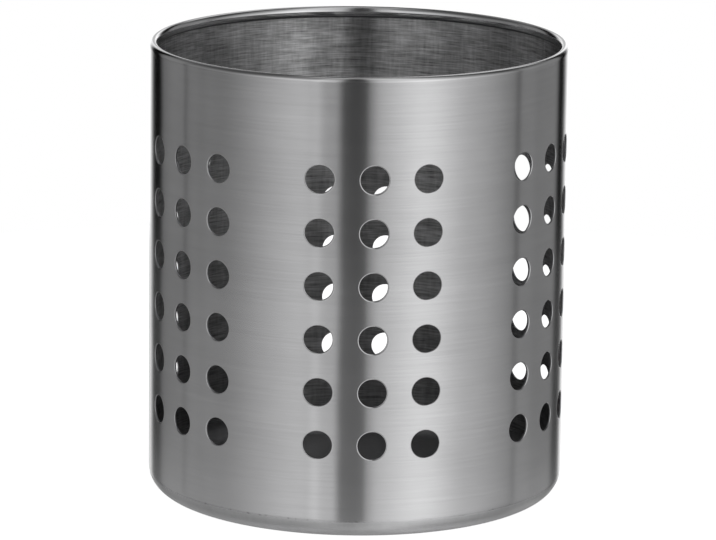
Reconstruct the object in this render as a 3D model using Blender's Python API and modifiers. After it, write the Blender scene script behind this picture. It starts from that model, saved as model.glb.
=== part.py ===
"""Cutlery drainer: a stainless steel cup with punched drain holes, a rolled rim and a pressed base.

The wall is one strip of sheet, rolled round, welded up its side and hemmed inwards at the rim.
A pressed pan closes it from below, and a second weld runs round between the two.
The origin is at the centre of the standing ring, +Z is up and the middle hole group faces -Y.
"""
import math

import bmesh
import bpy
from mathutils import Matrix

# Driving dimensions of the cup, in metres
CUP_DIAMETER = 0.120
CUP_HEIGHT = 0.1315
SHEET = 0.0006
CLEARANCE = 0.0003

# Rolled rim: a hollow oval bead, flush with the outside of the wall
HEM_HOLLOW = 0.0012
HEM_LEG = 0.00105

# Drain holes in the wall, punched one group at a time with the punches parallel
HOLE_DIAMETER = 0.0079
COLUMN_COUNT = 3
COLUMN_PITCH = 0.0151
ROW_PITCH = 0.0151
FIRST_ROW_HEIGHT = 0.0274
LEAST_BAND_ABOVE_HOLES = 0.022
# Each group's turn from the -Y side, in degrees: only near to sixths, as measured on the cup,
# because it was turned by hand between strokes
GROUP_TURNS = (0.0, 60.7, 120.6, 181.6, 241.2, 300.4)

# Pressed base: outer corner, flat standing ring and a raised, perforated floor
BASE_CORNER_RADIUS = 0.0064
BASE_UPSTAND = 0.0003
STANDING_RING_WIDTH = 0.003
FLOOR_RAISE = 0.002
FLOOR_SLOPE_RUN = 0.0025
BASE_HOLE_DIAMETER = 0.006
BASE_HOLE_PITCH = 0.0151
LEAST_BAND_ROUND_FLOOR_HOLES = 0.010

# Welds, ground flush
WELD_WIDTH = 0.0008

# Facets
ROUND_STEPS = 60
HOLE_SIDES = 16
BASE_HOLE_SIDES = 12
HEM_TOP_STEPS = 6
HEM_CURL_STEPS = 2
CORNER_STEPS = 4
CREASE_ANGLE = math.radians(35)
MERGE_DISTANCE = 0.00001

# Sizes that follow from the driving dimensions
CUP_RADIUS = CUP_DIAMETER / 2
HEM_WIDTH = HEM_HOLLOW + 2 * SHEET
HEM_TOP_RADIUS = HEM_WIDTH / 2
HEM_CURL_RADIUS = SHEET + (HEM_HOLLOW - CLEARANCE) / 2
HEM_HEIGHT = HEM_TOP_RADIUS + HEM_LEG + HEM_CURL_RADIUS
PAN_HEIGHT = BASE_CORNER_RADIUS + BASE_UPSTAND
BASE_WELD_FOOT = PAN_HEIGHT + CLEARANCE
WALL_FOOT = BASE_WELD_FOOT + WELD_WIDTH + CLEARANCE
RING_OUTER_RADIUS = CUP_RADIUS - BASE_CORNER_RADIUS
RING_INNER_RADIUS = RING_OUTER_RADIUS - STANDING_RING_WIDTH
FLOOR_RADIUS = RING_INNER_RADIUS - FLOOR_SLOPE_RUN
WELD_ANGLE = 2 * math.asin(WELD_WIDTH / 2 / CUP_RADIUS)
SLIT_ANGLE = 2 * math.asin((WELD_WIDTH / 2 + CLEARANCE) / CUP_RADIUS)
ROW_COUNT = 1 + int((CUP_HEIGHT - LEAST_BAND_ABOVE_HOLES - FIRST_ROW_HEIGHT) / ROW_PITCH)
WALL_PUNCH_REACH = HOLE_DIAMETER + SHEET
BASE_HOLE_RINGS = int((FLOOR_RADIUS - LEAST_BAND_ROUND_FLOOR_HOLES) / BASE_HOLE_PITCH)
BASE_PUNCH_REACH = FLOOR_RAISE + SHEET


def clear_scene():
    """Remove whatever the scene holds."""
    for obj in list(bpy.data.objects):
        bpy.data.objects.remove(obj, do_unlink=True)


def new_collection(name):
    """Add a collection to the scene."""
    collection = bpy.data.collections.new(name)
    bpy.context.scene.collection.children.link(collection)
    return collection


def steel(name, colour, roughness):
    """Stainless steel of one finish; the colour is linear."""
    material = bpy.data.materials.new(name)
    material.use_nodes = True
    shader = material.node_tree.nodes["Principled BSDF"]
    shader.inputs["Base Color"].default_value = (*colour, 1.0)
    shader.inputs["Metallic"].default_value = 1.0
    shader.inputs["Roughness"].default_value = roughness
    return material


def arc(centre, radius, start, end, steps):
    """Points on an arc in the (radius, height) plane, its angles in degrees."""
    points = []
    for step in range(steps + 1):
        angle = math.radians(start + (end - start) * step / steps)
        points.append((centre[0] + radius * math.cos(angle), centre[1] + radius * math.sin(angle)))
    return points


def turned_sheet(name, line, collection, angle=2 * math.pi, steps=ROUND_STEPS, start=0.0):
    """Sheet metal turned about Z: the line is its outer face, and its thickness goes inwards."""
    mesh = bpy.data.meshes.new(name)
    edges = [(k, k + 1) for k in range(len(line) - 1)]
    mesh.from_pydata([(r, 0.0, z) for r, z in line], edges, [])
    obj = bpy.data.objects.new(name, mesh)
    collection.objects.link(obj)
    obj.rotation_euler.z = start
    turn = obj.modifiers.new("turn", "SCREW")
    turn.axis = "Z"
    turn.angle = angle
    turn.steps = steps
    turn.render_steps = steps
    turn.use_merge_vertices = True
    turn.merge_threshold = MERGE_DISTANCE
    sheet = obj.modifiers.new("sheet", "SOLIDIFY")
    sheet.thickness = SHEET
    sheet.offset = -1.0
    sheet.use_even_offset = True
    return obj


def punches(name, places, diameter, sides, reach, collection):
    """Round punches joined in one cutter; each place is a matrix whose Z axis is the punch's own."""
    mesh = bmesh.new()
    for place in places:
        bmesh.ops.create_cone(mesh, cap_ends=True, segments=sides, radius1=diameter / 2,
                              radius2=diameter / 2, depth=2 * reach, matrix=place)
    data = bpy.data.meshes.new(name)
    mesh.to_mesh(data)
    mesh.free()
    cutter = bpy.data.objects.new(name, data)
    collection.objects.link(cutter)
    cutter.hide_render = True
    cutter.display_type = "WIRE"
    return cutter


def cut(obj, cutter):
    """Cut the cutter's shape out of an object."""
    modifier = obj.modifiers.new("holes", "BOOLEAN")
    modifier.operation = "DIFFERENCE"
    modifier.solver = "EXACT"
    modifier.object = cutter


def finish(obj, material):
    """Turn the modifiers into a mesh, shade it smooth between its creases and give it its material."""
    bpy.context.view_layer.update()
    depsgraph = bpy.context.evaluated_depsgraph_get()
    mesh = bpy.data.meshes.new_from_object(obj.evaluated_get(depsgraph))
    mesh.name = obj.name
    obj.modifiers.clear()
    obj.data = mesh
    mesh.shade_smooth()
    mesh.set_sharp_from_angle(angle=CREASE_ANGLE)
    mesh.materials.clear()
    mesh.materials.append(material)


def wall_line():
    """Outer face of the wall's sheet, from the hem's hidden edge over the rim and down to the foot."""
    hem_foot = CUP_HEIGHT - HEM_HEIGHT
    hem_face = CUP_RADIUS - HEM_WIDTH
    hem_edge = CUP_RADIUS - SHEET - CLEARANCE
    curl_centre = (hem_face + HEM_CURL_RADIUS, hem_foot + HEM_CURL_RADIUS)
    top_centre = (CUP_RADIUS - HEM_TOP_RADIUS, CUP_HEIGHT - HEM_TOP_RADIUS)
    line = [(hem_edge, hem_foot)]
    line += arc(curl_centre, HEM_CURL_RADIUS, 270, 180, HEM_CURL_STEPS)
    line += arc(top_centre, HEM_TOP_RADIUS, 180, 0, HEM_TOP_STEPS)
    line += [(CUP_RADIUS, WALL_FOOT)]
    return line


def pan_line():
    """Under face of the pressed base, from its upper edge round the corner and in to the axis."""
    corner_centre = (RING_OUTER_RADIUS, BASE_CORNER_RADIUS)
    line = [(CUP_RADIUS, PAN_HEIGHT)]
    line += arc(corner_centre, BASE_CORNER_RADIUS, 0, -90, CORNER_STEPS)
    line += [(RING_INNER_RADIUS, 0.0)]
    line += [(FLOOR_RADIUS, FLOOR_RAISE)]
    line += [(0.0, FLOOR_RAISE)]
    return line


def wall_punch_places():
    """Places of the wall's punches: within a group they are parallel, so their pitch is across it."""
    places = []
    for turn in GROUP_TURNS:
        group = Matrix.Rotation(math.radians(turn), 4, "Z")
        for column in range(COLUMN_COUNT):
            across = (column - (COLUMN_COUNT - 1) / 2) * COLUMN_PITCH
            depth = math.sqrt(CUP_RADIUS ** 2 - across ** 2)
            for row in range(ROW_COUNT):
                height = FIRST_ROW_HEIGHT + row * ROW_PITCH
                place = Matrix.Translation((across, -depth, height))
                places.append(group @ place @ Matrix.Rotation(math.pi / 2, 4, "X"))
    return places


def base_punch_places():
    """Places of the floor's punches: one in the middle, and rings of six, twelve and so on."""
    places = [Matrix.Translation((0.0, 0.0, FLOOR_RAISE))]
    for ring in range(1, BASE_HOLE_RINGS + 1):
        count = 6 * ring
        for k in range(count):
            turn = Matrix.Rotation(2 * math.pi * k / count, 4, "Z")
            places.append(turn @ Matrix.Translation((0.0, -ring * BASE_HOLE_PITCH, FLOOR_RAISE)))
    return places


def side_wall(parts, cutters):
    """The perforated wall with its rolled rim, open along the slit that the side weld fills."""
    wall = turned_sheet("side_wall", wall_line(), parts, 2 * math.pi - SLIT_ANGLE, ROUND_STEPS, SLIT_ANGLE / 2)
    places = wall_punch_places()
    cut(wall, punches("wall_punches", places, HOLE_DIAMETER, HOLE_SIDES, WALL_PUNCH_REACH, cutters))
    finish(wall, steel("brushed_wall", (0.56, 0.56, 0.57), 0.28))
    return wall


def side_seam_weld(parts):
    """The weld up the side of the wall, with the wall's own section, the rolled rim included."""
    weld = turned_sheet("side_seam_weld", wall_line(), parts, WELD_ANGLE, 1, -WELD_ANGLE / 2)
    finish(weld, steel("side_weld_bead", (0.50, 0.50, 0.51), 0.34))
    return weld


def base_pan(parts, cutters):
    """The pressed base with its round corner, standing ring and perforated floor."""
    pan = turned_sheet("base_pan", pan_line(), parts)
    places = base_punch_places()
    cut(pan, punches("base_punches", places, BASE_HOLE_DIAMETER, BASE_HOLE_SIDES, BASE_PUNCH_REACH, cutters))
    finish(pan, steel("satin_base", (0.52, 0.52, 0.53), 0.32))
    return pan


def base_weld(parts):
    """The weld round the cup, between the wall's foot and the base."""
    line = [(CUP_RADIUS, BASE_WELD_FOOT + WELD_WIDTH), (CUP_RADIUS, BASE_WELD_FOOT)]
    weld = turned_sheet("base_weld", line, parts)
    finish(weld, steel("base_weld_bead", (0.48, 0.48, 0.49), 0.36))
    return weld


def main():
    """Build the drainer's four pieces on one empty."""
    clear_scene()
    parts = new_collection("cutlery_drainer")
    cutters = new_collection("cutters")
    root = bpy.data.objects.new("drainer_origin", None)
    parts.objects.link(root)
    for piece in (side_wall(parts, cutters), side_seam_weld(parts), base_pan(parts, cutters), base_weld(parts)):
        piece.parent = root


main()
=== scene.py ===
# %% [markdown]
# # A cutlery drainer of brushed steel, built in Blender
#
# The real thing is a round cup of thin stainless sheet: a strip is punched with drain holes, rolled to
# a ring, welded shut, rolled over at the top to a hollow rim, and welded to a pressed base.
# We build it in the same order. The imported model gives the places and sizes, and we dress it here.

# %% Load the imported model
import math

import bmesh
import bpy
from mathutils import Matrix, Vector


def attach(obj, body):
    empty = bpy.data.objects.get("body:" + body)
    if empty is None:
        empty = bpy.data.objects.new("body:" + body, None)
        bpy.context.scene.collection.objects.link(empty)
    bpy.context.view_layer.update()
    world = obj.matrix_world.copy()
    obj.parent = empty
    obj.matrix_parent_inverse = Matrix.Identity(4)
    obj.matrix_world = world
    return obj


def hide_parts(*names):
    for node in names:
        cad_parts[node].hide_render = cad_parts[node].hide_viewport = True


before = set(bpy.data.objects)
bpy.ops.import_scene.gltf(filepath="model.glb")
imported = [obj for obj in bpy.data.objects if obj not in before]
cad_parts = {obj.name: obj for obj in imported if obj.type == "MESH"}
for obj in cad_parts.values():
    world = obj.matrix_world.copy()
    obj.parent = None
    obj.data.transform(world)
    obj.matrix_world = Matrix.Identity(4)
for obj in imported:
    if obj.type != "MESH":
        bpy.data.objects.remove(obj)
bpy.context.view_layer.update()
print("packed nodes:", sorted(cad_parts))

# %% [markdown]
# ## The camera
#
# A product photographer stands well back with a long lens, so that the cup's sides hardly lean together.
# This camera looks down by about thirteen degrees, and stands a little to the left of the middle of the
# front group of holes. The slight roll is in the picture too: the rim leans by under a degree.

# %% Place the camera
CAMERA_TURN = math.radians(-4.61)
CAMERA_PLACE = Vector((0.0003983, -1.2992634, 0.3589275))
CAMERA_PITCH = math.radians(90 - 12.785)
CAMERA_ROLL = math.radians(0.668)
CAMERA_LENS_MM = 231.576

camera = bpy.data.objects.new("camera", bpy.data.cameras.new("camera"))
bpy.context.scene.collection.objects.link(camera)
bpy.context.scene.camera = camera
turn = Matrix.Rotation(CAMERA_TURN, 4, "Z")
pitch = Matrix.Rotation(CAMERA_PITCH, 4, "X")
roll = Matrix.Rotation(CAMERA_ROLL, 4, "Z")
camera.matrix_world = turn @ Matrix.Translation(CAMERA_PLACE) @ pitch @ roll
camera.data.lens = CAMERA_LENS_MM
camera.data.sensor_width = 36
camera.data.clip_start = 0.05
bpy.context.scene.view_settings.view_transform = "Standard"
print("camera stands at", [round(c, 3) for c in camera.matrix_world.translation])

# %% [markdown]
# ## Helpers for shaping and for colour
#
# An operator works on everything that is selected. So one helper lets go of everything else, one starts
# editing a piece, and one picks the edges or faces whose middle passes a test. All lengths are in metres,
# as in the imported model.
# Colours are written as hex values, the way a paint program shows them, and one function turns them
# into the linear light that Blender works in.

# %% Helpers for shaping
MERGE_WITHIN = 0.000002
TOUCHING = 0.000001


def only(piece):
    """Select this piece and nothing else."""
    bpy.ops.object.select_all(action="DESELECT")
    piece.select_set(True)
    bpy.context.view_layer.objects.active = piece
    return piece


def edit(piece):
    """Start editing this piece."""
    only(piece)
    bpy.ops.object.mode_set(mode="EDIT")


def done():
    """Stop editing."""
    bpy.ops.object.mode_set(mode="OBJECT")


def pick(test, kind="EDGE"):
    """In edit mode, select just the edges or faces whose middle, and the element itself, pass the test."""
    bpy.ops.mesh.select_mode(type=kind)
    bpy.ops.mesh.select_all(action="DESELECT")
    shape = bmesh.from_edit_mesh(bpy.context.object.data)
    for element in shape.edges if kind == "EDGE" else shape.faces:
        middle = sum((v.co for v in element.verts), Vector()) / len(element.verts)
        if test(middle, element):
            element.select_set(True)
    bmesh.update_edit_mesh(bpy.context.object.data)


def extrude_edges(move):
    """Extrude the selected edges by a move. The new edges are then the selected ones."""
    bpy.ops.mesh.extrude_edges_move(TRANSFORM_OT_translate={"value": move})


def apply_all(piece):
    """Make every modifier of a piece part of its mesh, from the first to the last."""
    only(piece)
    for modifier in list(piece.modifiers):
        bpy.ops.object.modifier_apply(modifier=modifier.name)


def triangles(piece):
    """How many triangles a piece comes to."""
    return sum(len(face.vertices) - 2 for face in piece.data.polygons)


# %% Helpers for materials
def linear(hex_colour):
    """An sRGB hex colour as the linear colour that a shader takes."""
    parts = [int(hex_colour[i:i + 2], 16) / 255 for i in (1, 3, 5)]
    light = [p / 12.92 if p <= 0.04045 else ((p + 0.055) / 1.055) ** 2.4 for p in parts]
    return (*light, 1.0)


def add_node(tree, kind, settings=None, **inputs):
    """Add a node. settings are its own options. inputs are values, sockets, or nodes whose first output
    is meant. They are named as on the node, with _ for a space, or in0, in1 and so on by their place."""
    node = tree.nodes.new(kind)
    for name, value in (settings or {}).items():
        setattr(node, name, value)
    for name, value in inputs.items():
        key = int(name[2:]) if name.startswith("in") and name[2:].isdigit() else name.replace("_", " ")
        if isinstance(value, bpy.types.Node):
            value = value.outputs[0]
        if isinstance(value, bpy.types.NodeSocket):
            tree.links.new(value, node.inputs[key])
        else:
            node.inputs[key].default_value = value
    return node


print("steel grey #C9C9CA in linear light:", [round(part, 3) for part in linear("#C9C9CA")])

# %% [markdown]
# ## The wall: one hole in its square of sheet
#
# Every drain hole is punched by the same round tool, so we model one hole with care, in a flat square
# of sheet as wide as the spacing of the holes, and copy it. The sheet stands upright: x runs along
# the strip, z is up, and y is the depth below the outer face.
# A punch drags the sheet with it as it enters, which leaves a rounded outer edge, and it leaves a small
# edge on the inside. We start from the circle, extrude ring after ring down the hole, bridge the outer
# ring to the edges of the square, and copy those flat faces to the inner skin.

# %% Shape one punched hole
SHEET = 0.0006
HOLE_RADIUS = 0.00395
HOLE_PITCH = 0.0151
HOLE_SIDES = 32
PUNCH_ROUNDING = 0.00036
PUNCH_ROUNDING_DEPTH = 0.00026
FLAT_AROUND_HOLE = 0.0047
ROUNDING_STEPS = 4

bpy.ops.object.select_all(action="DESELECT")
bpy.ops.mesh.primitive_circle_add(vertices=HOLE_SIDES, radius=FLAT_AROUND_HOLE,
                                  rotation=(math.pi / 2, 0, 0))
wall = bpy.context.object
wall.name = "drainer_wall"
bpy.ops.object.transform_apply(rotation=True)

# Radius and depth of each ring: a flat one, the rounding, and the small edge on the inside.
rings = [(HOLE_RADIUS + PUNCH_ROUNDING + 0.0001, 0.0)]
for step in range(ROUNDING_STEPS + 1):
    lean = math.radians(90 / ROUNDING_STEPS * step)
    rings.append((HOLE_RADIUS + PUNCH_ROUNDING * (1 - math.sin(lean)),
                  PUNCH_ROUNDING_DEPTH * (1 - math.cos(lean))))
rings += [(HOLE_RADIUS, SHEET - 0.00006), (HOLE_RADIUS + 0.00002, SHEET - 0.00002),
          (HOLE_RADIUS + 0.00006, SHEET), (FLAT_AROUND_HOLE, SHEET)]

edit(wall)
bpy.ops.mesh.select_all(action="SELECT")
radius, depth = FLAT_AROUND_HOLE, 0.0
for next_radius, next_depth in rings:
    extrude_edges((0, next_depth - depth, 0))
    factor = next_radius / radius
    bpy.ops.transform.resize(value=(factor, 1, factor))
    radius, depth = next_radius, next_depth
bpy.ops.mesh.select_all(action="DESELECT")
bpy.ops.mesh.primitive_plane_add(size=HOLE_PITCH, rotation=(math.pi / 2, 0, 0))
bpy.ops.mesh.delete(type="ONLY_FACE")
pick(lambda middle, edge: edge.is_wire and edge.calc_length() > HOLE_PITCH * 0.9)
bpy.ops.mesh.subdivide(number_cuts=HOLE_SIDES // 4 - 1)
pick(lambda middle, edge: abs(middle.y) < TOUCHING and (edge.is_wire or edge.is_boundary))
bpy.ops.mesh.bridge_edge_loops(number_cuts=3, interpolation="LINEAR")
pick(lambda middle, face: abs(middle.y) < TOUCHING and middle.length > FLAT_AROUND_HOLE, "FACE")
bpy.ops.mesh.duplicate_move(TRANSFORM_OT_translate={"value": (0, SHEET, 0)})
bpy.ops.mesh.select_all(action="SELECT")
bpy.ops.mesh.remove_doubles(threshold=MERGE_WITHIN)
done()
print("one hole:", triangles(wall), "triangles")

# %% [markdown]
# ## The wall: a group of eighteen holes
#
# The holes stand in upright groups, three across and six up. Two Array modifiers repeat the square,
# and weld the copies where they meet. Then the plain bands below and above are extruded from the
# group's edges.

# %% Repeat the hole and add the plain bands
CUP_RADIUS = 0.060
CUP_HEIGHT = 0.1315
FIRST_ROW_HEIGHT = 0.0274
WALL_FOOT = 0.0079
RIM_WIDTH = 0.0024
RIM_HEIGHT = 0.0033
HIDDEN_IN_CURL = 0.0004
HOLES_ACROSS = 3
HOLES_UP = 6
STEPS_BELOW = 4
STEPS_ABOVE = 5

edit(wall)
bpy.ops.mesh.select_all(action="SELECT")
bpy.ops.transform.translate(value=(-HOLE_PITCH, 0, FIRST_ROW_HEIGHT))
done()
for name, count, offset in (("across", HOLES_ACROSS, (HOLE_PITCH, 0, 0)),
                            ("up", HOLES_UP, (0, 0, HOLE_PITCH))):
    array = wall.modifiers.new(name, "ARRAY")
    array.count = count
    array.use_relative_offset = False
    array.use_constant_offset = True
    array.constant_offset_displace = offset
    array.use_merge_vertices = True
    array.merge_threshold = 0.00001
apply_all(wall)

group_foot = FIRST_ROW_HEIGHT - HOLE_PITCH / 2
group_head = FIRST_ROW_HEIGHT + (HOLES_UP - 0.5) * HOLE_PITCH
inner_head = CUP_HEIGHT - RIM_HEIGHT + HIDDEN_IN_CURL
outer_head = CUP_HEIGHT - RIM_HEIGHT / 2


def level_edge(middle, edge, height):
    """Whether this is an open, level edge at a height."""
    flat = abs(edge.verts[0].co.z - edge.verts[1].co.z) < TOUCHING
    return edge.is_boundary and flat and abs(middle.z - height) < TOUCHING


edit(wall)
pick(lambda middle, edge: level_edge(middle, edge, group_foot))
for step in range(STEPS_BELOW):
    extrude_edges((0, 0, (WALL_FOOT - group_foot) / STEPS_BELOW))
pick(lambda middle, edge: level_edge(middle, edge, group_head))
for step in range(STEPS_ABOVE):
    extrude_edges((0, 0, (inner_head - group_head) / STEPS_ABOVE))
done()
print("one group:", triangles(wall), "triangles")

# %% [markdown]
# ## The wall: the rolled rim
#
# The upper edge of the sheet is rolled inwards over a wheel until it meets the wall again, which leaves
# a smooth hollow bead, a little taller than wide. We roll it the same way: the outer face's top edge is
# extruded in small steps along the oval. The inner face stops short inside the curl, and one more band
# of faces, merged with its edge, closes the sheet there and along the foot.

# %% Roll the rim
RIM_STEPS = 22
RIM_SWEEP = math.radians(302)


def rim_place(step):
    """Depth and height on the oval, from the outermost point over the top and back to the wall."""
    angle = RIM_SWEEP * step / RIM_STEPS
    return (RIM_WIDTH / 2 * (1 - math.cos(angle)), outer_head + RIM_HEIGHT / 2 * math.sin(angle))


edit(wall)
pick(lambda middle, edge: level_edge(middle, edge, inner_head) and middle.y < SHEET / 2)
extrude_edges((0, 0, outer_head - inner_head))
for step in range(RIM_STEPS):
    here = rim_place(step)
    there = rim_place(step + 1)
    move = (0, there[0] - here[0], there[1] - here[1])
    extrude_edges(move)
curl_end = rim_place(RIM_STEPS)
move = (0, SHEET - curl_end[0], inner_head - curl_end[1])
extrude_edges(move)
pick(lambda middle, edge: level_edge(middle, edge, WALL_FOOT) and middle.y < SHEET / 2)
extrude_edges((0, SHEET, 0))
bpy.ops.mesh.select_all(action="SELECT")
bpy.ops.mesh.remove_doubles(threshold=MERGE_WITHIN)
done()
print("one group with its rim:", triangles(wall), "triangles")

# %% [markdown]
# ## The wall: six groups in one strip
#
# The six groups were punched one after the other with the sheet already curved against the tool, so each
# hole of a group points the same way, and the groups sit a degree or so unevenly. Their turns round the
# cup are written as they were measured, in degrees. We copy the group for each turn and lay the copies
# out along the strip by their angle.

# %% Lay out the groups
GROUP_TURNS = (120.6, 181.6, 241.2, 300.4, 360.0, 420.7)


def lay_out(piece, group_turn):
    """Move a flat group to its place along the strip, so that its holes keep one direction."""
    for v in piece.data.vertices:
        angle = math.radians(group_turn) + math.asin(v.co.x / (CUP_RADIUS - v.co.y))
        v.co.x = CUP_RADIUS * angle


groups = []
for group_turn in GROUP_TURNS:
    group = wall.copy()
    group.data = wall.data.copy()
    bpy.context.scene.collection.objects.link(group)
    lay_out(group, group_turn)
    groups.append(group)
bpy.data.objects.remove(wall)
bpy.ops.object.select_all(action="DESELECT")
for group in groups:
    group.select_set(True)
bpy.context.view_layer.objects.active = groups[0]
bpy.ops.object.join()
wall = bpy.context.object
wall.name = "drainer_wall"
wall.data.name = "drainer_wall"
print("strip of", len(groups), "groups:", triangles(wall), "triangles")

# %% [markdown]
# ## The wall: the plain sheet between the groups
#
# Between two groups the sheet is plain, so their facing edges are bridged, with a few cuts so that the
# sheet can bend there later. At the strip's two ends the edges are extruded until just short of the side
# weld, set to one line and closed with a face, from which the weld is copied later.

# %% Bridge the gaps and close the ends
SEAM_TURN = 90.0
SEAM_HALF_WIDTH = 0.0004
GAP_CUTS = 6
END_STEPS = 3
# Only the two faces that close the ends have more corners than this.
MOST_CORNERS = 8

group_middles = [CUP_RADIUS * math.radians(group_turn) for group_turn in GROUP_TURNS]
end_places = [CUP_RADIUS * math.radians(SEAM_TURN) + SEAM_HALF_WIDTH,
              CUP_RADIUS * math.radians(SEAM_TURN + 360) - SEAM_HALF_WIDTH]


def side_edge(middle, edge, low, high):
    """Whether this is an open edge between two places along the strip."""
    return edge.is_boundary and low < middle.x < high


edit(wall)
for left, right in zip(group_middles, group_middles[1:]):
    pick(lambda middle, edge: side_edge(middle, edge, left, right))
    bpy.ops.mesh.bridge_edge_loops(number_cuts=GAP_CUTS, interpolation="LINEAR")
for low, high, end_place in ((0, group_middles[0], end_places[0]), (group_middles[-1], 1, end_places[1])):
    pick(lambda middle, edge: side_edge(middle, edge, low, high))
    shape = bmesh.from_edit_mesh(wall.data)
    edge_place = [v.co.x for v in shape.verts if v.select]
    reach = end_place - (min(edge_place) if end_place < group_middles[0] else max(edge_place))
    for step in range(END_STEPS):
        extrude_edges((reach / END_STEPS, 0, 0))
    for v in shape.verts:
        if v.select:
            v.co.x = end_place
    bmesh.update_edit_mesh(wall.data)
    bpy.ops.mesh.edge_face_add()
bpy.ops.mesh.select_all(action="SELECT")
bpy.ops.mesh.remove_doubles(threshold=MERGE_WITHIN)
bpy.ops.mesh.normals_make_consistent(inside=False)
done()
used_edges = {tuple(sorted(key)) for face in wall.data.polygons for key in face.edge_keys}
print("flat strip:", triangles(wall), "triangles, loose edges:", len(wall.data.edges) - len(used_edges))

# %% [markdown]
# ## The wall: name the finishes
#
# One sheet carries five finishes: brushed outside, left rougher inside, the rim polished by the wheel that
# rolled it but dull underneath where no wheel reaches and darkened there with painted shade, and the punched
# edges grey where the sheet was sheared. They could be picked by hand on the finished cup. While the strip is
# flat it is easier, because a face's depth and height say which finish it has.

# %% Mark the finishes
BRUSHED_OUTSIDE, POLISHED_RIM, BRUSHED_INSIDE, PUNCHED_EDGE, UNDER_RIM = range(5)
POLISH_STARTS = outer_head + 0.0003
WHEEL_STOPS_SHADE_STARTS = outer_head - 0.0009

for face in wall.data.polygons:
    depth, height = face.center.y, face.center.z
    in_bead = depth > SHEET + 0.00001
    # Under the bead the steel is dull, and its darker colour is painted shade.
    if in_bead and height < WHEEL_STOPS_SHADE_STARTS:
        face.material_index = UNDER_RIM
    elif in_bead or height > POLISH_STARTS:
        face.material_index = POLISHED_RIM
    elif depth > SHEET - TOUCHING:
        face.material_index = BRUSHED_INSIDE
    elif depth > PUNCH_ROUNDING_DEPTH * 0.7 and WALL_FOOT + 0.0001 < height < inner_head:
        face.material_index = PUNCHED_EDGE
    else:
        face.material_index = BRUSHED_OUTSIDE
print("faces of the five finishes:",
      [sum(face.material_index == kind for face in wall.data.polygons) for kind in range(5)])

# %% [markdown]
# ## The seam up the side
#
# Where the strip's two ends meet, they are welded and ground flush. So the weld has the very outline of
# the sheet's end, rim included: we copy that end face and extrude it across the gap. Its two sides are let
# in by a hundredth of a millimetre, a valley as fine as a hair. The valley fades out below the rim, where
# the wheel has polished it away.

# %% Copy the seam from the sheet's end
SEAM_STEPS = 4
SEAM_VALLEY = 0.00001
VALLEY_STOPS = outer_head - 0.002
VALLEY_FADES_OVER = 0.01

edit(wall)
pick(lambda middle, face: len(face.verts) > MOST_CORNERS and middle.x < group_middles[0], "FACE")
bpy.ops.mesh.duplicate()
bpy.ops.mesh.separate(type="SELECTED")
done()
seam = next(o for o in bpy.context.selected_objects if o != wall)
seam.name = "side_seam"
edit(seam)
bpy.ops.mesh.select_all(action="SELECT")
for step in range(SEAM_STEPS):
    move = (-2 * SEAM_HALF_WIDTH / SEAM_STEPS, 0, 0)
    bpy.ops.mesh.extrude_region_move(TRANSFORM_OT_translate={"value": move})
bpy.ops.mesh.select_all(action="SELECT")
bpy.ops.mesh.normals_make_consistent(inside=False)
done()
seam_middle = CUP_RADIUS * math.radians(SEAM_TURN)
for v in seam.data.vertices:
    at_side = abs(v.co.x - seam_middle) > SEAM_HALF_WIDTH * 0.9
    if at_side and v.co.y < TOUCHING:
        v.co.y = SEAM_VALLEY * min(1, max(0, (VALLEY_STOPS - v.co.z) / VALLEY_FADES_OVER))
print("seam:", triangles(seam), "triangles")

# %% [markdown]
# ## Roll the strip round
#
# In the workshop the strip goes through three rollers. Here each point goes from its place along the
# strip to its angle round the cup, and its depth is taken off the radius. Flat facets would show as
# breaks in the stripes of light, so the plain outer and inner skin get the normals of a true cylinder.

# %% Roll the strip and the seam round the cup
def roll_up(piece):
    """Bend a flat piece round the upright axis."""
    for v in piece.data.vertices:
        angle = v.co.x / CUP_RADIUS
        reach = CUP_RADIUS - v.co.y
        v.co = (reach * math.sin(angle), -reach * math.cos(angle), v.co.z)
    piece.data.update()


def true_up(piece):
    """Smooth the piece, with the normals of a true cylinder on its plain outer and inner skin."""
    only(piece)
    bpy.ops.object.shade_smooth()
    normals = [Vector() for v in piece.data.vertices]
    for face in piece.data.polygons:
        if len(face.vertices) <= MOST_CORNERS:
            for index in face.vertices:
                normals[index] += face.normal * face.area
    for v in piece.data.vertices:
        reach = math.hypot(v.co.x, v.co.y)
        outward = Vector((v.co.x, v.co.y, 0)).normalized()
        if abs(reach - CUP_RADIUS) < MERGE_WITHIN and v.co.z <= outer_head + TOUCHING:
            normals[v.index] = outward
        elif abs(reach - CUP_RADIUS + SHEET) < MERGE_WITHIN and v.co.z <= inner_head + TOUCHING:
            normals[v.index] = -outward
    piece.data.normals_split_custom_set_from_vertices([n.normalized() for n in normals])


roll_up(wall)
roll_up(seam)
true_up(wall)
only(seam)
bpy.ops.object.shade_smooth_by_angle(angle=math.radians(50))
print("wall:", triangles(wall), "triangles, size, mm:", [round(d * 1000, 2) for d in wall.dimensions])

# %% [markdown]
# ## The weld round the foot of the wall
#
# The wall is welded to the base all the way round, and the weld is ground flush and brushed over. What
# is left can hardly be seen. A small upright rectangle of sheet is spun round the cup, and its outer
# face is let in by about a thousandth of a millimetre, a little differently all round.

# %% Spin the weld
PAN_HEAD = 0.0070
WELD_STEPS = 480
WELD_VALLEY = 0.000001
WELD_WANDER = 0.0000005


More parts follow.
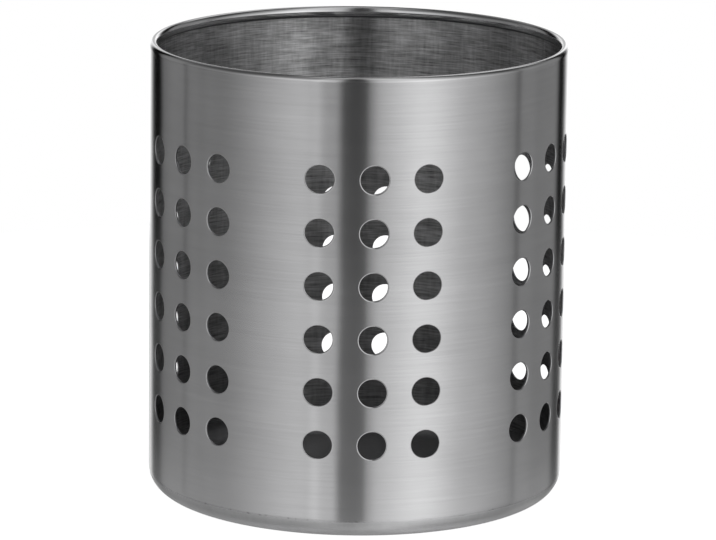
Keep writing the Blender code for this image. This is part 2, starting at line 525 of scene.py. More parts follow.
def true_up_with_edges(piece, angle):
    """Smooth the piece but keep its edges, and give its outer skin the normals of a true cylinder."""
    only(piece)
    bpy.ops.object.shade_smooth_by_angle(angle=math.radians(angle))
    normals = [Vector(corner.vector) for corner in piece.data.corner_normals]
    for face in piece.data.polygons:
        reach = math.hypot(face.center.x, face.center.y)
        if abs(face.normal.z) < 0.05 and reach > CUP_RADIUS - 0.00003:
            for corner in face.loop_indices:
                place = piece.data.vertices[piece.data.loops[corner].vertex_index].co
                normals[corner] = Vector((place.x, place.y, 0)).normalized()
    piece.data.normals_split_custom_set(normals)


bpy.ops.object.select_all(action="DESELECT")
weld_middle = Vector((CUP_RADIUS - SHEET / 2, 0, (PAN_HEAD + WALL_FOOT) / 2))
bpy.ops.mesh.primitive_plane_add(size=1, rotation=(math.pi / 2, 0, 0), location=weld_middle)
weld = bpy.context.object
weld.name = "foot_weld"
weld.scale = (SHEET, WALL_FOOT - PAN_HEAD, 1)
bpy.ops.object.transform_apply(location=True, rotation=True, scale=True)
edit(weld)
bpy.ops.mesh.select_all(action="SELECT")
bpy.ops.mesh.subdivide(number_cuts=3)
bpy.ops.mesh.delete(type="ONLY_FACE")
pick(lambda middle, edge: abs(middle.x - weld_middle.x) < SHEET * 0.45
     and abs(middle.z - weld_middle.z) < (WALL_FOOT - PAN_HEAD) * 0.45)
bpy.ops.mesh.delete(type="EDGE")
bpy.ops.mesh.select_all(action="SELECT")
bpy.ops.mesh.spin(steps=WELD_STEPS, angle=2 * math.pi, center=(0, 0, 0), axis=(0, 0, 1))
bpy.ops.mesh.select_all(action="SELECT")
bpy.ops.mesh.remove_doubles(threshold=MERGE_WITHIN)
bpy.ops.mesh.normals_make_consistent(inside=False)
done()
for v in weld.data.vertices:
    reach = math.hypot(v.co.x, v.co.y)
    if reach > CUP_RADIUS - MERGE_WITHIN:
        around = math.atan2(v.co.y, v.co.x)
        wander = math.sin(31 * around) * math.sin(17 * around + 2) + math.sin(83 * around + 1) * 0.5
        valley = WELD_VALLEY + WELD_WANDER * wander
        v.co.x *= 1 - valley / reach
        v.co.y *= 1 - valley / reach
true_up_with_edges(weld, 50)
print("weld:", triangles(weld), "triangles")

# %% [markdown]
# ## The pressed base
#
# The base is drawn in a press from one round blank: a round outer corner, a flat ring that the cup
# stands on, and a floor that is raised a little so that it never touches the table.
# It could be spun from its line in one go, but a circle that is extruded and scaled ring by ring can be
# closed with one flat face for the floor. Solidify then gives the sheet its thickness.

# %% Draw the base
CORNER_STEPS = 18
BEND_STEPS = 6
CORNER_RADIUS = 0.0064
RING_OUTER = CUP_RADIUS - CORNER_RADIUS
RING_INNER = 0.0506
FLOOR_RADIUS = 0.0481
FLOOR_RAISE = 0.002
BEND_RADIUS = 0.0009
BASE_STEPS = 192


def bend(centre, radius, start, end, steps):
    """Radius and height of points on a bend, angles in degrees from the outward direction."""
    angles = [math.radians(start + (end - start) * k / steps) for k in range(steps + 1)]
    return [(centre[0] + radius * math.cos(a), centre[1] + radius * math.sin(a)) for a in angles]


slope = math.degrees(math.atan2(FLOOR_RAISE, RING_INNER - FLOOR_RADIUS))
half_bend = BEND_RADIUS * math.tan(math.radians(slope / 2))
base_line = bend((RING_OUTER, CORNER_RADIUS), CORNER_RADIUS, 0, -90, CORNER_STEPS)
base_line += bend((RING_INNER + half_bend, BEND_RADIUS), BEND_RADIUS, -90, -90 - slope, BEND_STEPS)
base_line += bend((FLOOR_RADIUS - half_bend, FLOOR_RAISE - BEND_RADIUS), BEND_RADIUS,
                  90 - slope, 90, BEND_STEPS)

bpy.ops.object.select_all(action="DESELECT")
bpy.ops.mesh.primitive_circle_add(vertices=BASE_STEPS, radius=CUP_RADIUS, location=(0, 0, PAN_HEAD))
base = bpy.context.object
base.name = "pressed_base"
bpy.ops.object.transform_apply(location=True)
edit(base)
bpy.ops.mesh.select_all(action="SELECT")
radius, height = CUP_RADIUS, PAN_HEAD
for next_radius, next_height in base_line:
    extrude_edges((0, 0, next_height - height))
    factor = next_radius / radius
    bpy.ops.transform.resize(value=(factor, factor, 1))
    radius, height = next_radius, next_height
bpy.ops.mesh.edge_face_add()
bpy.ops.mesh.select_all(action="SELECT")
bpy.ops.mesh.normals_make_consistent(inside=False)
done()
middle_face = max(base.data.polygons, key=lambda face: len(face.vertices))
if middle_face.normal.z > 0:
    base.data.flip_normals()
thickness = base.modifiers.new("sheet", "SOLIDIFY")
thickness.thickness = SHEET
thickness.offset = -1
thickness.use_even_offset = True
apply_all(base)
print("base before its holes:", triangles(base), "triangles")

# %% [markdown]
# ## The drain holes in the floor
#
# Nineteen holes let the water out: one in the middle, and rings of six and twelve round it. The punch
# comes from inside, so each hole's upper edge is rounded. One punch is shaped, copied to all the places
# and taken out of the base with one Boolean. It leaves long thin faces between the holes, so the floor
# gets flat normals afterwards, and no false shade gathers there.

# %% Shape the punches
FLOOR_HOLE_RADIUS = 0.003
FLOOR_HOLE_PITCH = 0.0151
FLOOR_HOLE_ROUNDING = 0.0003
FLOOR_HOLE_RINGS = ((1, 6), (2, 12))
CLEAR_OF_FACE = 0.000001

bpy.ops.object.select_all(action="DESELECT")
punch_foot = FLOOR_RAISE - 0.0005
floor_head = FLOOR_RAISE + SHEET
bpy.ops.mesh.primitive_circle_add(vertices=32, radius=FLOOR_HOLE_RADIUS, fill_type="NGON",
                                  location=(0, 0, punch_foot))
punch = bpy.context.object
bpy.ops.object.transform_apply(location=True)
edit(punch)
bpy.ops.mesh.select_all(action="SELECT")
radius, height = FLOOR_HOLE_RADIUS, punch_foot
punch_line = [(FLOOR_HOLE_RADIUS, floor_head - FLOOR_HOLE_ROUNDING)]
for step in range(1, ROUNDING_STEPS + 1):
    lean = math.radians(90 / ROUNDING_STEPS * step)
    punch_line.append((FLOOR_HOLE_RADIUS + FLOOR_HOLE_ROUNDING * (1 - math.cos(lean)) * 0.999,
                       floor_head - FLOOR_HOLE_ROUNDING * (1 - math.sin(lean)) + CLEAR_OF_FACE * step))
punch_line.append((punch_line[-1][0] + 0.0001, floor_head + 0.0003))
for next_radius, next_height in punch_line:
    bpy.ops.mesh.extrude_region_move(TRANSFORM_OT_translate={"value": (0, 0, next_height - height)})
    factor = next_radius / radius
    bpy.ops.transform.resize(value=(factor, factor, 1))
    radius, height = next_radius, next_height
bpy.ops.mesh.select_all(action="SELECT")
bpy.ops.mesh.normals_make_consistent(inside=False)
done()
punches = [punch]
for ring, count in FLOOR_HOLE_RINGS:
    for k in range(count):
        copy = punch.copy()
        copy.data = punch.data.copy()
        bpy.context.scene.collection.objects.link(copy)
        angle = 2 * math.pi * k / count
        place = Vector((math.sin(angle), -math.cos(angle), 0)) * ring * FLOOR_HOLE_PITCH
        copy.data.transform(Matrix.Translation(place))
        punches.append(copy)
bpy.ops.object.select_all(action="DESELECT")
for tool in punches:
    tool.select_set(True)
bpy.context.view_layer.objects.active = punch
bpy.ops.object.join()
print("punches:", len(punches), "with", triangles(punch), "triangles")

# %% Cut the holes and flatten the floor's normals
cut = base.modifiers.new("holes", "BOOLEAN")
cut.operation = "DIFFERENCE"
cut.solver = "EXACT"
cut.object = punch
apply_all(base)
bpy.data.objects.remove(punch)
only(base)
bpy.ops.object.shade_smooth_by_angle(angle=math.radians(32))
normals = [Vector(corner.vector) for corner in base.data.corner_normals]
for loop in base.data.loops:
    place = base.data.vertices[loop.vertex_index].co
    if math.hypot(place.x, place.y) < FLOOR_RADIUS:
        if abs(place.z - floor_head) < MERGE_WITHIN and normals[loop.index].z > 0.5:
            normals[loop.index] = Vector((0, 0, 1))
        elif abs(place.z - FLOOR_RAISE) < MERGE_WITHIN and normals[loop.index].z < -0.5:
            normals[loop.index] = Vector((0, 0, -1))
base.data.normals_split_custom_set(normals)
print("base:", triangles(base), "triangles")

# %% [markdown]
# ## The steel, brushed
#
# The sheet is stainless steel of the kitchen kind. Its outside is brushed with a fine abrasive belt
# while the cup turns, so thousands of fine lines run round it. Across the lines a reflection smears far,
# and along them hardly at all: that is why each light shows as a tall soft stripe. The shader's
# anisotropy does this. Its tangent runs round the cup, and a rotation of 0.25, which is a quarter turn,
# points the smear upwards.
# On top come the lines that can be seen one by one, and faint smudges where the polish varies. Real
# brushing lines are a few hundredths of a millimetre apart, too fine to show from here, so they are drawn
# about ten times as coarse. They are a noise, stretched long round the cup and squeezed upwards.
# All the brushed finishes differ only in numbers, so one function makes them.

# %% A brushed steel
SMUDGES_PER_METRE = (42, 42, 60)
SCRATCH_APART_MM = 1.1
SCRATCH_LONG_MM = 6
FLECKS_PER_METRE = 900.0
FOOT_PAINTED_SHADE = (0.008, 0.085)
SHEET_WAVES_PER_METRE = 75.0
SHEET_WAVE_DEPTH = 0.00007
LINE_DEPTH = 0.00004
MIX_FLOAT = {"data_type": "FLOAT"}
MULTIPLY = {"operation": "MULTIPLY"}
SMOOTH = {"interpolation_type": "SMOOTHSTEP"}


def brushed_steel(name, colour, roughness, anisotropy, line_mm, line_mm_long, line_depth, smudge,
                  scratches=0.0, flecks=0.0, painted_shade_at_foot=1.0):
    """Steel brushed round the upright axis, with lines about line_mm apart and line_mm_long long."""
    material = bpy.data.materials.new(name)
    material.use_nodes = True
    tree = material.node_tree
    tree.nodes.clear()
    place = add_node(tree, "ShaderNodeTexCoord").outputs["Object"]
    lines_up = 1000 / line_mm
    lines_along = 1000 / line_mm_long
    fine = add_node(tree, "ShaderNodeMapping", Vector=place, Scale=(lines_along, lines_along, lines_up))
    fine_lines = add_node(tree, "ShaderNodeTexNoise", Vector=fine, Scale=1.0, Detail=3.0, Roughness=0.62)
    broad = add_node(tree, "ShaderNodeMapping", Vector=place,
                     Scale=(lines_along / 3, lines_along / 3, lines_up / 5))
    broad_lines = add_node(tree, "ShaderNodeTexNoise", Vector=broad, Scale=1.0, Detail=2.0, Roughness=0.5)
    spots = add_node(tree, "ShaderNodeMapping", Vector=place, Scale=SMUDGES_PER_METRE)
    smudges = add_node(tree, "ShaderNodeTexNoise", Vector=spots, Scale=1.0, Detail=3.0, Roughness=0.55)
    both = add_node(tree, "ShaderNodeMix", MIX_FLOAT, Factor=0.25, A=fine_lines, B=broad_lines)
    lines = both.outputs["Result"]
    if scratches:
        # Handling leaves short scratches across the brushing.
        upright = add_node(tree, "ShaderNodeMapping", Vector=place,
                           Scale=(1000 / SCRATCH_APART_MM, 1000 / SCRATCH_APART_MM, 1000 / SCRATCH_LONG_MM))
        upright_lines = add_node(tree, "ShaderNodeTexNoise", Vector=upright,
                                 Scale=1.0, Detail=2.0, Roughness=0.6)
        crossed = add_node(tree, "ShaderNodeMix", MIX_FLOAT, Factor=scratches, A=lines, B=upright_lines)
        lines = crossed.outputs["Result"]
    line_shade = add_node(tree, "ShaderNodeMapRange", Value=lines, From_Min=0.3, From_Max=0.7,
                          To_Min=1 - 3.2 * line_depth, To_Max=1 + 1.2 * line_depth)
    smudge_shade = add_node(tree, "ShaderNodeMapRange", Value=smudges, From_Min=0.35, From_Max=0.65,
                            To_Min=1 - smudge, To_Max=1 + smudge * 0.4)
    shade = add_node(tree, "ShaderNodeMath", MULTIPLY, in0=line_shade, in1=smudge_shade)
    if flecks:
        # Small dark specks are left where the brushing ends.
        specks = add_node(tree, "ShaderNodeTexNoise", Vector=place, Scale=FLECKS_PER_METRE, Detail=1.0)
        dark_speck = add_node(tree, "ShaderNodeMapRange", Value=specks, From_Min=0.60, From_Max=0.68,
                              To_Min=1.0, To_Max=1 - flecks)
        shade = add_node(tree, "ShaderNodeMath", MULTIPLY, in0=shade, in1=dark_speck)
    if painted_shade_at_foot < 1:
        # Painted shade: the steel is darker deep inside the cup, where less light reaches.
        up = add_node(tree, "ShaderNodeSeparateXYZ", Vector=place).outputs["Z"]
        deeper = add_node(tree, "ShaderNodeMapRange", SMOOTH, Value=up,
                          From_Min=FOOT_PAINTED_SHADE[0], From_Max=FOOT_PAINTED_SHADE[1], To_Min=painted_shade_at_foot, To_Max=1.0)
        shade = add_node(tree, "ShaderNodeMath", MULTIPLY, in0=shade, in1=deeper)
    tint = add_node(tree, "ShaderNodeVectorMath", {"operation": "SCALE"}, in0=linear(colour)[:3], Scale=shade)
    dull = add_node(tree, "ShaderNodeMapRange", Value=smudges, From_Min=0.3, From_Max=0.7,
                    To_Min=roughness * (1 - smudge), To_Max=roughness * (1 + smudge))
    dents = add_node(tree, "ShaderNodeTexNoise", Vector=place, Scale=SHEET_WAVES_PER_METRE, Detail=0.0)
    sheet_waves = add_node(tree, "ShaderNodeBump", Strength=1.0, Distance=SHEET_WAVE_DEPTH, Height=dents)
    relief = add_node(tree, "ShaderNodeBump", Strength=line_depth * 1.5, Distance=LINE_DEPTH,
                      Height=lines, Normal=sheet_waves)
    around = add_node(tree, "ShaderNodeTangent", {"direction_type": "RADIAL", "axis": "Z"})
    steel = add_node(tree, "ShaderNodeBsdfPrincipled", Base_Color=tint, Metallic=1.0, Roughness=dull,
                     Anisotropic=anisotropy, Anisotropic_Rotation=0.25, Normal=relief, Tangent=around)
    add_node(tree, "ShaderNodeOutputMaterial", Surface=steel)
    print("made", name)
    return material


# %% [markdown]
# ## The steel, not brushed
#
# The rim is buffed by the wheel that rolls it. Under the rim and in the punched holes nothing polishes the
# steel at all. None of these has a direction, so they need no anisotropy: a plain metal, whose roughness
# varies along the wheel's traces and whose relief has small ripples. More roughness and deeper ripples turn
# the buffed rim into the dull or the torn metal. Under the rim a darker colour adds painted shade as well.

# %% A steel without brushing
WHEEL_TRACES_PER_METRE = (30, 30, 1800)
RIPPLES_PER_METRE = 160.0
RIPPLE_DEPTH = 0.00005


def unbrushed_steel(name, colour, roughness, waviness):
    """Steel with no direction: buffed where roughness and waviness are low, dull or torn where high."""
    material = bpy.data.materials.new(name)
    material.use_nodes = True
    tree = material.node_tree
    tree.nodes.clear()
    place = add_node(tree, "ShaderNodeTexCoord").outputs["Object"]
    round_lines = add_node(tree, "ShaderNodeMapping", Vector=place, Scale=WHEEL_TRACES_PER_METRE)
    traces = add_node(tree, "ShaderNodeTexNoise", Vector=round_lines, Scale=1.0, Detail=2.0, Roughness=0.5)
    ripples = add_node(tree, "ShaderNodeTexNoise", Vector=place, Scale=RIPPLES_PER_METRE, Detail=2.0)
    dull = add_node(tree, "ShaderNodeMapRange", Value=traces, From_Min=0.3, From_Max=0.7,
                    To_Min=roughness * 0.75, To_Max=roughness * 1.25)
    relief = add_node(tree, "ShaderNodeBump", Strength=waviness, Distance=RIPPLE_DEPTH, Height=ripples)
    steel = add_node(tree, "ShaderNodeBsdfPrincipled", Base_Color=linear(colour), Metallic=1.0,
                     Roughness=dull, Normal=relief)
    add_node(tree, "ShaderNodeOutputMaterial", Surface=steel)
    print("made", name)
    return material


# %% [markdown]
# ## The ten finishes
#
# Each is named for its surface and its place. The outside has the smoothest and evenest brushing. The
# weld round the foot is brushed together with it and gets the same numbers. The inside keeps the coarser
# brushing that the sheet came with. It is paler in itself but rough and scratched, so it shows the
# stripes of light only faintly.

# %% Mix the finishes
# Belt-brushed sheet: tall soft stripes of light, crossed by hair-fine lines.
steel_outside = brushed_steel("brushed_steel_outside", "#C9C9CA", roughness=0.195, anisotropy=1.0,
                              line_mm=0.45, line_mm_long=30, line_depth=0.024, smudge=0.045)
# Brushed at the mill only: coarse broken lines and scratches, with blurred stripes, and painted shade towards
# the foot.
steel_inside = brushed_steel("brushed_steel_inside", "#DEDEDF", roughness=0.33, anisotropy=1.0,
                             line_mm=0.36, line_mm_long=7, line_depth=0.25, smudge=0.14,
                             scratches=0.20, painted_shade_at_foot=0.72)
# Buffed by the wheel: thin bright lines of light along the bead.
steel_rim = unbrushed_steel("polished_steel_rim", "#D2D2D3", roughness=0.15, waviness=0.04)
# Out of the wheel's reach: a dull band. Its dark colour is painted shade in the crevice under the bead, which
# sets the rim off from the inside.
steel_under_rim = unbrushed_steel("dull_steel_under_rim", "#7C7C7E", roughness=0.5, waviness=0.3)
# Torn through by the punch: a matt grey ring within each hole.
steel_punched = unbrushed_steel("sheared_punched_edge", "#8E8E90", roughness=0.45, waviness=0.3)
# Weld metal, ground and brushed over: like the wall, but a little duller.
steel_seam = brushed_steel("brushed_over_seam", "#C2C2C3", roughness=0.24, anisotropy=0.8,
                           line_mm=0.4, line_mm_long=20, line_depth=0.06, smudge=0.10)
# Weld metal, brushed together with the wall: it can hardly be told from it.
steel_weld = brushed_steel("brushed_over_weld", "#C9C9CA", roughness=0.195, anisotropy=1.0,
                           line_mm=0.45, line_mm_long=30, line_depth=0.024, smudge=0.045)
# Where the belt runs out above the corner: an uneven grey line with small dark flecks.
steel_edge = brushed_steel("end_of_the_brushing", "#C8C8C9", roughness=0.25, anisotropy=0.9,
                           line_mm=0.4, line_mm_long=8, line_depth=0.04, smudge=0.12, flecks=0.35)
# Pressed and given a satin: broad soft light with no clear stripe.
steel_base = brushed_steel("satin_steel_base", "#CCCCCD", roughness=0.36, anisotropy=0.4,
                           line_mm=0.35, line_mm_long=20, line_depth=0.03, smudge=0.06, scratches=0.4)
# Left as pressed, and scratched in use. Its darker grey inside the base is painted shade at the bottom of the
# cup.
steel_floor_painted_shade = brushed_steel("grey_steel_with_painted_shade_inside_the_base", "#A6A6A8", roughness=0.40, anisotropy=0.4,
                            line_mm=0.35, line_mm_long=20, line_depth=0.05, smudge=0.10, scratches=0.4)

# %% Give each piece its steel
SATIN, BRUSHED_SKIRT, END_OF_BRUSHING, PAINTED_SHADE_INSIDE_BASE = range(4)
BELT_STOPS = 0.0058
FLECKS_STOP = 0.0052
INSIDE_CORNER_REACH = 0.052

for finish in (steel_outside, steel_rim, steel_inside, steel_punched, steel_under_rim):
    wall.data.materials.append(finish)
for piece, finish in ((seam, steel_seam), (weld, steel_weld), (base, steel_base)):
    piece.data.materials.clear()
    piece.data.materials.append(finish)
seam.data.materials.append(steel_rim)
for finish in (steel_outside, steel_edge, steel_floor_painted_shade):
    base.data.materials.append(finish)
for face in base.data.polygons:
    place = face.center
    reach = math.hypot(place.x, place.y)
    outward = face.normal.x * place.x + face.normal.y * place.y
    if reach > CUP_RADIUS - SHEET / 2 and place.z > FLECKS_STOP:
        face.material_index = BRUSHED_SKIRT if place.z > BELT_STOPS else END_OF_BRUSHING
    # Upward faces inside the cup and the inner corner get the grey steel with painted shade.
    elif face.normal.z > 0.2 or (outward < 0 and reach > INSIDE_CORNER_REACH):
        face.material_index = PAINTED_SHADE_INSIDE_BASE
    else:
        face.material_index = SATIN
for face in seam.data.polygons:
    face.material_index = 1 if face.center.z > outer_head else 0
for piece in (wall, seam, weld, base):
    used = sorted({face.material_index for face in piece.data.polygons})
    print(piece.name, "carries", [piece.data.materials[i].name for i in used])

# %% [markdown]
# ## The table
#
# The cup stands on a polished sheet of opal acrylic, lit from above and given an even glow so that it comes
# out plain white in the picture. It is a disc a little over seventy centimetres wide, and lies a tenth of a
# millimetre lower than the cup, so that the two faces never fight. The camera sees it white, with a faint
# soft shadow right under the cup. The steel sees a painted glow on it, with a weak mirror of the studio on
# top. The painted glow is a pool of light, brightest under the cup and close to it. It fades outwards and
# towards the back, a little later on the left than on the right.

# %% Make the table
TABLE_RADIUS = 0.36
TABLE_LEVEL = -0.0001
TABLE_MIRRORS = 0.80
SHOWN_GLOW = 0.86
PAINTED_GLOW_NEAR = (0.085, 0.25)
PAINTED_GLOW_FAR = (0.115, 0.175)
PAINTED_GLOW_BACK = (-0.06, 0.045, 0.43)
PAINTED_GLOW_LEAN = 0.15

bpy.ops.object.select_all(action="DESELECT")
bpy.ops.mesh.primitive_circle_add(vertices=96, radius=TABLE_RADIUS, fill_type="NGON",
                                  location=(0, 0, TABLE_LEVEL))
table = bpy.context.object
table.name = "table"
acrylic = bpy.data.materials.new("polished_opal_acrylic")
acrylic.use_nodes = True
tree = acrylic.node_tree
tree.nodes.clear()
spot = add_node(tree, "ShaderNodeTexCoord").outputs["Object"]
from_middle = add_node(tree, "ShaderNodeVectorMath", {"operation": "LENGTH"}, in0=spot).outputs["Value"]
# Painted light: the glow that the steel sees is a pool painted on the table, brightest near the cup and
# fading outwards and towards the back.
painted_glow_by_distance = add_node(tree, "ShaderNodeMapRange", Value=from_middle, From_Min=PAINTED_GLOW_NEAR[0],
                      From_Max=PAINTED_GLOW_FAR[0], To_Min=PAINTED_GLOW_NEAR[1], To_Max=PAINTED_GLOW_FAR[1])
faced = add_node(tree, "ShaderNodeMapping", Vector=spot, Rotation=(0, 0, -CAMERA_TURN))
ways = add_node(tree, "ShaderNodeSeparateXYZ", Vector=faced).outputs
leftward = add_node(tree, "ShaderNodeMath", {"operation": "MINIMUM"}, in0=ways["X"], in1=0.0)
backward = add_node(tree, "ShaderNodeMath", {"operation": "MULTIPLY_ADD"},
                    in0=leftward, in1=PAINTED_GLOW_LEAN, in2=ways["Y"])
painted_glow_back_fade = add_node(tree, "ShaderNodeMapRange", SMOOTH, Value=backward, From_Min=PAINTED_GLOW_BACK[0],
                     From_Max=PAINTED_GLOW_BACK[1], To_Min=1.0, To_Max=PAINTED_GLOW_BACK[2])
painted_glow_strength = add_node(tree, "ShaderNodeMath", MULTIPLY, in0=painted_glow_by_distance, in1=painted_glow_back_fade)
glow = add_node(tree, "ShaderNodeEmission", Color=linear("#FFFFFF"), Strength=painted_glow_strength)
gloss = add_node(tree, "ShaderNodeBsdfGlossy", Color=(TABLE_MIRRORS, TABLE_MIRRORS, TABLE_MIRRORS, 1),
                 Roughness=0.06)
mirrored = add_node(tree, "ShaderNodeAddShader", in0=gloss, in1=glow)
pale = add_node(tree, "ShaderNodeBsdfDiffuse", Color=linear("#F2F2F2"))
shown_glow = add_node(tree, "ShaderNodeEmission", Color=linear("#FFFFFF"), Strength=SHOWN_GLOW)
shown = add_node(tree, "ShaderNodeAddShader", in0=pale, in1=shown_glow)
path = add_node(tree, "ShaderNodeLightPath").outputs["Is Camera Ray"]
either = add_node(tree, "ShaderNodeMixShader", Fac=path, in1=mirrored, in2=shown)
add_node(tree, "ShaderNodeOutputMaterial", Surface=either)
table.data.materials.append(acrylic)
print("table:", TABLE_RADIUS * 2000, "mm wide")

# %% [markdown]
# ## The studio
#
# What polished metal looks like is what it mirrors. A plain white surround would leave the cup flat and
# white, so this is a dim studio. It has grey walls at the sides, a soft box in front on the left and one
# on the right, each with a broad reflector beside it that fades sideways, and between them the dark gap
# where the camera stands. Behind the cup hang a bright strip of backdrop and a few weaker lights, and
# overhead a soft light that is weaker straight before and behind the cup. Where two panels meet, a dark
# edge shows.
# Lamps and panels could be built as objects round the cup. It is simpler to paint them on the world by
# direction: an angle to the left or right of the camera, and an angle up. Across, each light rises softly,
# stays level and falls again, and upwards it changes just as softly. The angles, in degrees, and the
# strengths were tuned until the stripes on the cup came out about as bright as in the picture.

# %% The lights of the studio
SOFT_LIGHTS = {
    # name: (from, full from, full to, to, strength, share of it below the table's edge, share high up,
    #        and the two heights between which it falls to that share)
    "left_wall": (-140.5, -133, -38, 2, 0.262, 1.0, 0.36, 14, 40),
    "left_reflector": (-83, -21, -29, -17, 0.645, 0.84, 0.34, 18, 48),
    "left_soft_box": (-27.5, -21, -12.5, -7, 0.62, 0.44, 0.60, 30, 62),
    "camera_gap": (-14, -8, 4, 8, 0.050, 1.0, 0.3, 20, 58),
    "right_soft_box_edge": (4.4, 6.8, 32, 64, 0.28, 0.57, 0.85, 32, 64),
    "right_soft_box": (4.5, 13, 33, 66, 0.32, 0.90, 0.90, 32, 64),
    "right_reflector": (0, 46, 53, 104, 0.49, 0.90, 0.72, 16, 42),
    "right_wall": (-2, 38, 138, 145, 0.277, 1.0, 0.26, 12, 38),
    "right_wall_gleam": (99, 101.5, 110, 117, 0.045, 0.9, 0.26, 12, 38),
}
TABLE_EDGE = (-8, 4)
# name: (place, half width, how much darker its middle is)
PANEL_EDGES = {"left_corner": (-133.5, 10, 0.13), "far_left": (-108.8, 2.5, 0.52), "left": (-95, 6.0, 0.10),
               "right": (98.0, 3.4, 0.48)}
# The strip behind the cup: where it begins and is full, and its strength. Then the heights between which
# it falls to a share, and those between which it ends.
BACKDROP = (151, 168, 1.35)
BACKDROP_DIMS = (-4, 9, 0.46)
BACKDROP_TOP = (16, 34)
BACK_LIGHTS = {
    # name: (from, full from, full to, to, strength, and the heights: from, full from, full to, to)
    "side_left_low": (-132, -120, -98, -80, 0.045, -24, -18, -12.4, -10.2),
    "back_left_low": (-175, -166, -161, -152, 0.52, -4, 8, 16, 26),
    "back_right_low": (157, 166, 169, 177, 0.72, -4, 8, 16, 26),
    "back_left_high": (-177, -166, -150, -128, 0.30, 24, 38, 50, 64),
    "back_right_high": (128, 150, 169, 179, 0.46, 24, 38, 50, 64),
    "back_right_top": (122, 148, 170, 179, 0.45, 28, 42, 56, 72),
}
# Overhead: the heights between which it rises, and its strength. Then the angles off the line through
# camera and cup between which its gap closes, and the share that is left in the gap.
OVERHEAD = (64, 80, 0.55)
OVERHEAD_GAP = (8, 26, 0.6)
print("soft lights:", list(SOFT_LIGHTS))
print("back lights:", list(BACK_LIGHTS))

# %% [markdown]
# ## Paint the studio on the world
#
# The world is asked for its light in a direction. The first nodes turn that direction into the two
# angles. From black, every soft light then adds its part, the panel edges darken what is there, and the
# backdrop, the back lights and the overhead light come last. The camera sees plain white behind the cup.

# %% Turn a direction into two angles
world = bpy.data.worlds.new("studio")
bpy.context.scene.world = world
world.use_nodes = True
tree = world.node_tree
tree.nodes.clear()

way = add_node(tree, "ShaderNodeTexCoord").outputs["Generated"]
faced = add_node(tree, "ShaderNodeMapping", Vector=way, Rotation=(0, 0, -CAMERA_TURN))
parts = add_node(tree, "ShaderNodeSeparateXYZ", Vector=faced).outputs
toward = add_node(tree, "ShaderNodeMath", MULTIPLY, in0=parts["Y"], in1=-1.0)
sideways = add_node(tree, "ShaderNodeMath", {"operation": "ARCTAN2"}, in0=parts["X"], in1=toward)
across = add_node(tree, "ShaderNodeMath", MULTIPLY, in0=sideways, in1=math.degrees(1))
apart = add_node(tree, "ShaderNodeMath", {"operation": "ABSOLUTE"}, in0=across)
upward = add_node(tree, "ShaderNodeMath", {"operation": "ARCSINE"}, in0=parts["Z"])
height = add_node(tree, "ShaderNodeMath", MULTIPLY, in0=upward, in1=math.degrees(1))
print("the studio faces", round(math.degrees(CAMERA_TURN), 2), "degrees from straight ahead")

# %% Add the lights
ADD = {"operation": "ADD"}


def between(tree, angle, start, full_from, full_to, end, strength=1.0):
    """Light that rises softly from start, is level from full_from to full_to, and falls to end."""
    rising = add_node(tree, "ShaderNodeMapRange", SMOOTH, Value=angle,
                      From_Min=start, From_Max=full_from, To_Min=0.0, To_Max=strength)
    falling = add_node(tree, "ShaderNodeMapRange", SMOOTH, Value=angle,
                       From_Min=full_to, From_Max=end, To_Min=1.0, To_Max=0.0)
    return add_node(tree, "ShaderNodeMath", MULTIPLY, in0=rising, in1=falling)


def soft_light(tree, start, full_from, full_to, end, strength, low_share, high_share, fade_from, fade_to):
    """One tall light, weaker both below the table's edge and high up."""
    wide = between(tree, across, start, full_from, full_to, end, strength)
    high = add_node(tree, "ShaderNodeMapRange", SMOOTH, Value=height,
                    From_Min=fade_from, From_Max=fade_to, To_Min=1.0, To_Max=high_share)
    low = add_node(tree, "ShaderNodeMapRange", SMOOTH, Value=height,
                   From_Min=TABLE_EDGE[0], From_Max=TABLE_EDGE[1], To_Min=low_share, To_Max=1.0)
    tall = add_node(tree, "ShaderNodeMath", MULTIPLY, in0=high, in1=low)
    return add_node(tree, "ShaderNodeMath", MULTIPLY, in0=wide, in1=tall)


light = 0.0
for numbers in SOFT_LIGHTS.values():
    light = add_node(tree, "ShaderNodeMath", ADD, in0=light, in1=soft_light(tree, *numbers))
for place, half_width, depth in PANEL_EDGES.values():
    beside = add_node(tree, "ShaderNodeMath", {"operation": "SUBTRACT"}, in0=across, in1=float(place))
    off = add_node(tree, "ShaderNodeMath", {"operation": "ABSOLUTE"}, in0=beside)
    edge = add_node(tree, "ShaderNodeMapRange", SMOOTH, Value=off,
                    From_Min=0.0, From_Max=half_width, To_Min=1 - depth, To_Max=1.0)
    light = add_node(tree, "ShaderNodeMath", MULTIPLY, in0=light, in1=edge)
print("so far the world has", len(tree.nodes), "nodes")

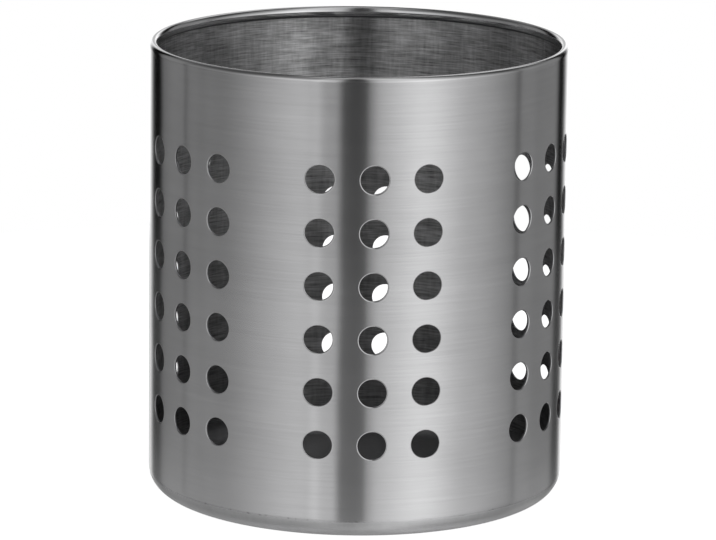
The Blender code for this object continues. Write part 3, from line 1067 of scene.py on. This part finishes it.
# %% Add what hangs behind and overhead
strip = add_node(tree, "ShaderNodeMapRange", SMOOTH, Value=apart,
                 From_Min=BACKDROP[0], From_Max=BACKDROP[1], To_Min=0.0, To_Max=BACKDROP[2])
dims = add_node(tree, "ShaderNodeMapRange", SMOOTH, Value=height,
                From_Min=BACKDROP_DIMS[0], From_Max=BACKDROP_DIMS[1], To_Min=1.0, To_Max=BACKDROP_DIMS[2])
ends = add_node(tree, "ShaderNodeMapRange", SMOOTH, Value=height,
                From_Min=BACKDROP_TOP[0], From_Max=BACKDROP_TOP[1], To_Min=1.0, To_Max=0.0)
backdrop = add_node(tree, "ShaderNodeMath", MULTIPLY, in0=strip, in1=dims)
backdrop = add_node(tree, "ShaderNodeMath", MULTIPLY, in0=backdrop, in1=ends)
light = add_node(tree, "ShaderNodeMath", ADD, in0=light, in1=backdrop)
for start, full_from, full_to, end, strength, *heights in BACK_LIGHTS.values():
    wide = between(tree, across, start, full_from, full_to, end, strength)
    tall = between(tree, height, *heights)
    patch = add_node(tree, "ShaderNodeMath", MULTIPLY, in0=wide, in1=tall)
    light = add_node(tree, "ShaderNodeMath", ADD, in0=light, in1=patch)
off_back = add_node(tree, "ShaderNodeMath", {"operation": "SUBTRACT"}, in0=180.0, in1=apart)
off_line = add_node(tree, "ShaderNodeMath", {"operation": "MINIMUM"}, in0=apart, in1=off_back)
ceiling = add_node(tree, "ShaderNodeMapRange", SMOOTH, Value=height,
                   From_Min=OVERHEAD[0], From_Max=OVERHEAD[1], To_Min=0.0, To_Max=OVERHEAD[2])
gap = add_node(tree, "ShaderNodeMapRange", SMOOTH, Value=off_line,
               From_Min=OVERHEAD_GAP[0], From_Max=OVERHEAD_GAP[1], To_Min=OVERHEAD_GAP[2], To_Max=1.0)
overhead = add_node(tree, "ShaderNodeMath", MULTIPLY, in0=ceiling, in1=gap)
light = add_node(tree, "ShaderNodeMath", {"operation": "MAXIMUM"}, in0=light, in1=overhead)
studio = add_node(tree, "ShaderNodeBackground", Color=linear("#FFFFFF"), Strength=light)
white = add_node(tree, "ShaderNodeBackground", Color=linear("#FFFFFF"), Strength=1.0)
path = add_node(tree, "ShaderNodeLightPath").outputs["Is Camera Ray"]
shown = add_node(tree, "ShaderNodeMixShader", Fac=path, in1=studio, in2=white)
add_node(tree, "ShaderNodeOutputWorld", Surface=shown)
print("the whole world has", len(tree.nodes), "nodes")

# %% [markdown]
# ## Attach the pieces
#
# Nothing on the drainer moves, so every piece rides on the one body. The imported solid that each piece
# stands for is hidden.

# %% Ride, and hide the imported solids
for piece, node, slot in ((wall, "side_wall", "brushed_wall"), (seam, "side_seam_weld", "side_weld_bead"),
                          (base, "base_pan", "satin_base"), (weld, "base_weld", "base_weld_bead")):
    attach(piece, "root")
    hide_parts(node)
